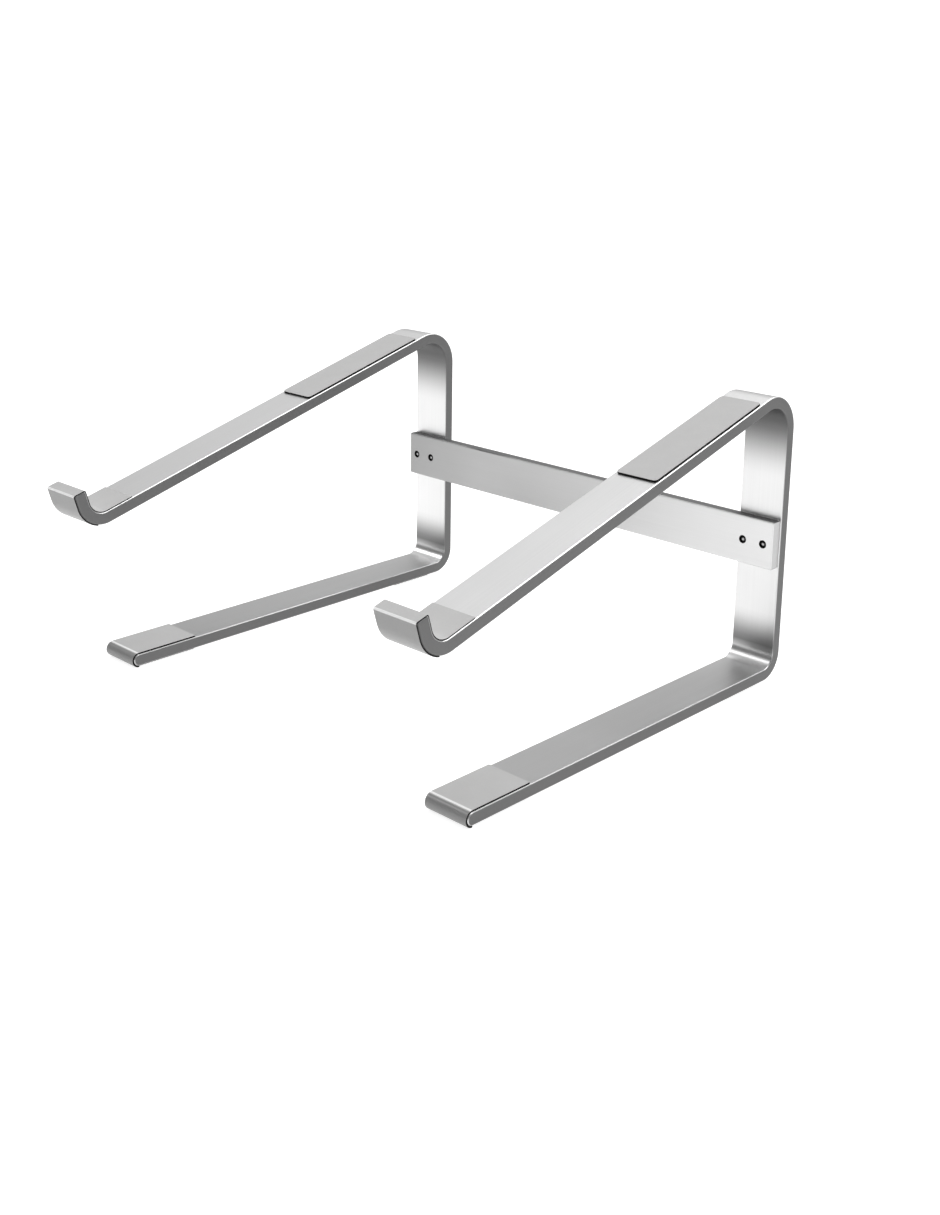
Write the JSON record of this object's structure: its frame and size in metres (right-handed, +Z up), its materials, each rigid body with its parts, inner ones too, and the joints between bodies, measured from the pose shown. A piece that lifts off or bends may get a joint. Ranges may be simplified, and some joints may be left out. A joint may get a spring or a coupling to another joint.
{
  "type": "laptop stand",
  "caption": "Open laptop stand: two side frames bent from flat aluminium bar, joined by a flat cross bar, with front hooks and grey silicone pads.",
  "frame": {"origin": "middle of the bounding box's underside, on the desk the stand rests on", "axes": "+X to the right seen from the front, +Y to the back, away from the hooks, +Z up"},
  "size_m": [0.2636, 0.2596, 0.1504],
  "materials": {
    "anodised_aluminium": "fine brushed, clear anodised",
    "silicone": "matt grey silicone",
    "screw_steel": "plain stainless steel",
    "adhesive_film": "translucent acrylic adhesive"
  },
  "bodies": {
    "root": {"left_side_frame": "anodised_aluminium", "right_side_frame": "anodised_aluminium", "cross_bar": "anodised_aluminium", "left_outer_screw": "screw_steel", "left_inner_screw": "screw_steel", "right_inner_screw": "screw_steel", "right_outer_screw": "screw_steel", "left_upper_pad": "silicone", "right_upper_pad": "silicone", "left_upper_pad_film": "adhesive_film", "right_upper_pad_film": "adhesive_film", "left_hook_lining": "silicone", "right_hook_lining": "silicone", "left_hook_lining_film": "adhesive_film", "right_hook_lining_film": "adhesive_film", "left_foot_sleeve": "silicone", "right_foot_sleeve": "silicone", "left_foot_sleeve_film": "adhesive_film", "right_foot_sleeve_film": "adhesive_film", "left_rear_foot_pad": "silicone", "right_rear_foot_pad": "silicone", "left_rear_foot_pad_film": "adhesive_film", "right_rear_foot_pad_film": "adhesive_film"}
  },
  "joints": []
}
